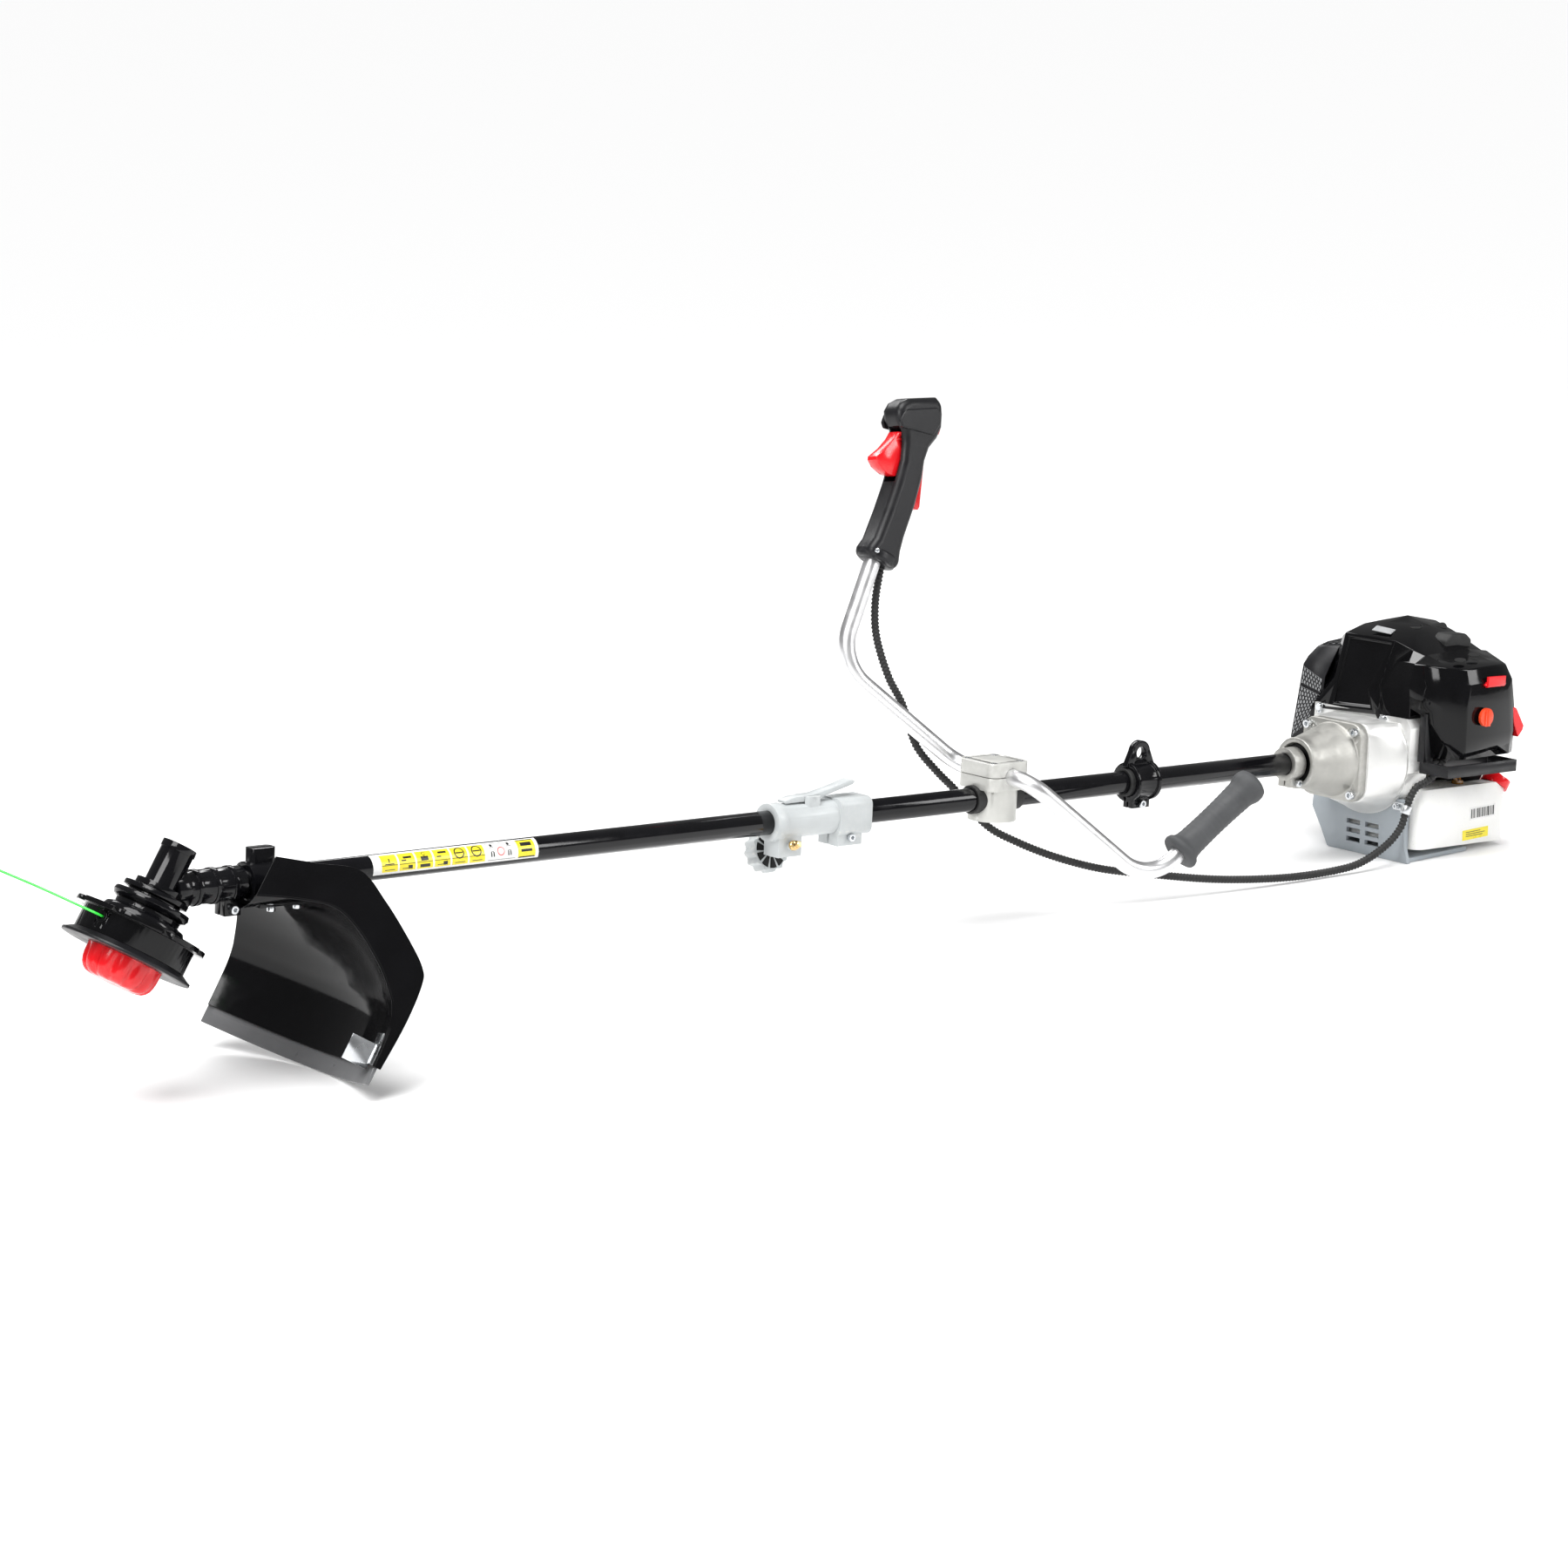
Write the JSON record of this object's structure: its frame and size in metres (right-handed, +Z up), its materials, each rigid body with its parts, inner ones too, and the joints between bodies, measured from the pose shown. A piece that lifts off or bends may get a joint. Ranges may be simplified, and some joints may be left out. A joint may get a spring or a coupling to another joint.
{
  "type": "string trimmer",
  "caption": "Petrol string trimmer: split straight shaft, two-hand bar with throttle grip, rear engine with fuel tank, curved guard and bump-feed line head.",
  "frame": {"origin": "centre line of the stand's bottom face, 52 mm behind the front face of the fan housing at shaft height", "axes": "+X along the floor towards the cutting head, +Y to the operator's left, +Z up; the shaft slopes 3 degrees up towards the head"},
  "size_m": [2.0126, 0.3111, 0.5844],
  "materials": {
    "black_enamel": "gloss",
    "steel": "satin",
    "zinc": "satin",
    "bronze": "satin",
    "cast_grey": "cast, satin",
    "cast_raw": "cast, matte",
    "bar_aluminium": "polished",
    "black_plastic": "satin",
    "gloss_plastic": "gloss",
    "dark_rubber": "matte",
    "black_rubber": "matte",
    "red_plastic": "satin",
    "orange_plastic": "satin",
    "tank_plastic": "translucent, satin",
    "stand_plastic": "matte",
    "green_line": "gloss",
    "hose": "translucent",
    "felt": "matte"
  },
  "bodies": {
    "frame": {"rear_tube": "black_enamel", "front_tube": "black_enamel", "bearings": "bronze", "coupler_body": "cast_grey", "gear_case": "black_enamel", "guard_bracket": "black_enamel", "guard_shell": "gloss_plastic", "guard_skirt": "dark_rubber", "line_cutter": "zinc", "handle_clamp_base": "cast_grey", "handle_clamp_cap": "cast_grey", "rubber_sleeves": "black_rubber", "handlebar": "bar_aluminium", "plain_grip": "dark_rubber", "throttle_shell_left": "black_plastic", "throttle_shell_right": "black_plastic", "throttle_conduit": "black_rubber", "conduit_clip": "zinc", "harness_ring": "black_enamel", "shaft_collar": "cast_raw", "damper": "black_rubber", "clutch_case": "cast_raw", "fan_housing": "cast_raw", "crankcase": "cast_raw", "cylinder": "cast_raw", "spark_plug": "black_rubber", "engine_shroud": "gloss_plastic", "muffler": "steel", "muffler_cover": "black_plastic", "carburettor": "cast_raw", "filter_base": "black_plastic", "filter_element": "felt", "filter_cover": "gloss_plastic", "fuel_tank": "tank_plastic", "fuel_lines": "hose", "stand": "stand_plastic", "recoil_housing": "black_plastic", "screws": "zinc"},
    "drive": {"drive_shafts": "steel", "drive_pinion": "steel", "clutch_drum": "steel"},
    "crank": {"crankshaft": "steel", "flywheel_fan": "cast_grey", "clutch_shoes": "steel"},
    "head": {"output_gear": "steel", "blade_holder": "black_enamel", "head_housing": "black_plastic", "head_disc": "black_plastic", "cutting_line": "green_line"},
    "tap": {"tap_knob": "red_plastic", "line_spool": "black_plastic"},
    "trigger": {"throttle_trigger": "red_plastic"},
    "lockout": {"lockout_lever": "red_plastic"},
    "kill": {"kill_switch": "red_plastic"},
    "lever": {"coupler_lever": "cast_grey"},
    "knob": {"coupler_knob": "cast_grey"},
    "choke": {"choke_knob": "orange_plastic"},
    "cap": {"fuel_cap": "red_plastic"},
    "latch": {"filter_latch": "red_plastic"},
    "pull": {"recoil_handle": "black_plastic"}
  },
  "joints": [
    {"name": "head_spin", "type": "hinge", "parent": "frame", "child": "head", "pos_m": [1.7297, 0, 0.20892], "axis": [-0.5446, 0, 0.8387], "continuous": true},
    {"name": "drive_spin", "type": "hinge", "parent": "frame", "child": "drive", "pos_m": [0.95077, 0, 0.1681], "axis": [0.9986, 0, 0.0523], "continuous": true},
    {"name": "crank_spin", "type": "hinge", "parent": "frame", "child": "crank", "pos_m": [-0.0199, 0, 0.11723], "axis": [0.9986, 0, 0.0523], "continuous": true},
    {"name": "tap_bump", "type": "slide", "parent": "head", "child": "tap", "axis": [-0.5446, 0, 0.8387], "range_m": [0, 0.005], "stiffness_N_per_m": 900, "springref_m": -0.003},
    {"name": "throttle_pull", "type": "hinge", "parent": "frame", "child": "trigger", "pos_m": [0.67174, -0.14151, 0.53934], "axis": [-0.0074, 0.99, 0.1405], "range_deg": [0, 12], "stiffness_Nm_per_rad": 0.4, "springref_deg": -17.19},
    {"name": "lockout_press", "type": "hinge", "parent": "frame", "child": "lockout", "pos_m": [0.65359, -0.13768, 0.5114], "axis": [0.0074, -0.99, -0.1405], "range_deg": [0, 5], "stiffness_Nm_per_rad": 0.4, "springref_deg": -17.19},
    {"name": "kill_slide", "type": "slide", "parent": "frame", "child": "kill", "axis": [-0.5101, -0.1246, 0.8511], "range_m": [0, 0.005]},
    {"name": "coupler_release", "type": "hinge", "parent": "frame", "child": "lever", "pos_m": [0.92268, 0, 0.18816], "axis": [0, -1, 0], "range_deg": [0, 9], "stiffness_Nm_per_rad": 1, "springref_deg": -17.19},
    {"name": "coupler_screw", "type": "hinge", "parent": "frame", "child": "knob", "pos_m": [0.95728, 0, 0.1394], "axis": [0.0153, -0.9563, -0.292], "continuous": true},
    {"name": "choke_turn", "type": "hinge", "parent": "frame", "child": "choke", "pos_m": [-0.02693, 0.118, 0.17494], "axis": [0, 1, 0], "range_deg": [0, 90]},
    {"name": "cap_turn", "type": "hinge", "parent": "frame", "child": "cap", "pos_m": [-0.10968, 0.062, 0.07247], "axis": [-0.5736, 0, 0.8192], "continuous": true},
    {"name": "latch_open", "type": "hinge", "parent": "frame", "child": "latch", "pos_m": [-0.0449, 0.114, 0.21205], "axis": [-0.9986, 0, -0.0523], "range_deg": [0, 75]},
    {"name": "starter_pull", "type": "slide", "parent": "frame", "child": "pull", "axis": [-0.0135, -0.9659, 0.2585], "range_m": [0, 0.08], "stiffness_N_per_m": 60, "springref_m": -0.02}
  ],
  "couplings": [
    {"joint": "drive_spin", "follows": "head_spin", "ratio": 1.2857}
  ]
}
